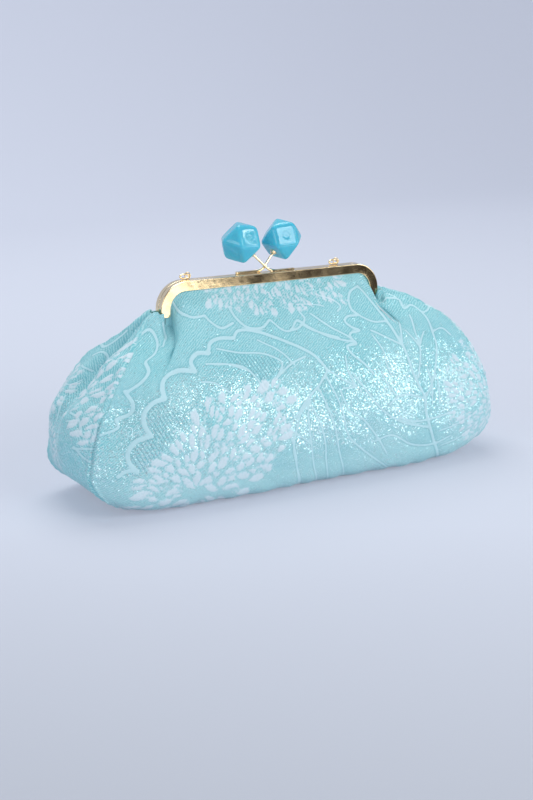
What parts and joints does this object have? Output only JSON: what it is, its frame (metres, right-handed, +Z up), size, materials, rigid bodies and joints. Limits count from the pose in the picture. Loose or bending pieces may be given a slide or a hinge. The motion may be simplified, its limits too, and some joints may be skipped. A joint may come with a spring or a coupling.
{
  "type": "clutch bag",
  "caption": "Soft brocade clutch bag gathered into a hinged gold kiss-lock frame that shuts with faceted beads on crossed stems.",
  "frame": {"origin": "middle of the whole bag's outline, on the surface that it stands on", "axes": "+X along the frame to the right as seen from the front, -Y out of the front panel, +Z up"},
  "size_m": [0.2954, 0.089, 0.1545],
  "materials": {
    "brocade": "aqua satin brocade with silver thread and white woven petals",
    "lining": "pale satin",
    "frame_gold": "polished pale gold plate",
    "blue_acrylic": "polished, slightly translucent",
    "paper_cord": "twisted paper, matt"
  },
  "bodies": {
    "pouch": {"front_panel": "brocade", "rear_panel": "brocade", "left_gusset": "brocade", "right_gusset": "brocade", "front_lining": "lining", "rear_lining": "lining", "left_lining": "lining", "right_lining": "lining"},
    "front_half": {"front_frame": "frame_gold", "hinge_rivet_left": "frame_gold", "hinge_rivet_right": "frame_gold", "front_clasp_stem": "frame_gold", "left_bead": "blue_acrylic", "left_bead_collar": "frame_gold", "front_paper_filler": "paper_cord"},
    "rear_half": {"rear_frame": "frame_gold", "rear_clasp_stem": "frame_gold", "right_bead": "blue_acrylic", "right_bead_collar": "frame_gold", "rear_paper_filler": "paper_cord", "chain_loop_left": "frame_gold", "chain_loop_right": "frame_gold"},
    "left_ring": {"jump_ring_left": "frame_gold"},
    "right_ring": {"jump_ring_right": "frame_gold"}
  },
  "joints": [
    {"name": "front_hinge", "type": "hinge", "parent": "pouch", "child": "front_half", "pos_m": [-0.0064, 0, 0.1024], "axis": [1, 0, 0], "range_deg": [0, 45], "deforming": ["front_panel", "front_lining", "left_gusset", "right_gusset", "left_lining", "right_lining"]},
    {"name": "rear_hinge", "type": "hinge", "parent": "pouch", "child": "rear_half", "pos_m": [-0.0064, 0, 0.1024], "axis": [1, 0, 0], "range_deg": [-45, 0], "deforming": ["rear_panel", "rear_lining"]},
    {"name": "left_ring_swing", "type": "hinge", "parent": "rear_half", "child": "left_ring", "pos_m": [-0.0624, 0.00205, 0.128], "axis": [1, 0, 0], "range_deg": [-90, 90]},
    {"name": "right_ring_swing", "type": "hinge", "parent": "rear_half", "child": "right_ring", "pos_m": [0.0399, 0.00205, 0.128], "axis": [1, 0, 0], "range_deg": [-90, 90]}
  ],
  "couplings": [
    {"joint": "rear_hinge", "follows": "front_hinge", "ratio": -1}
  ]
}
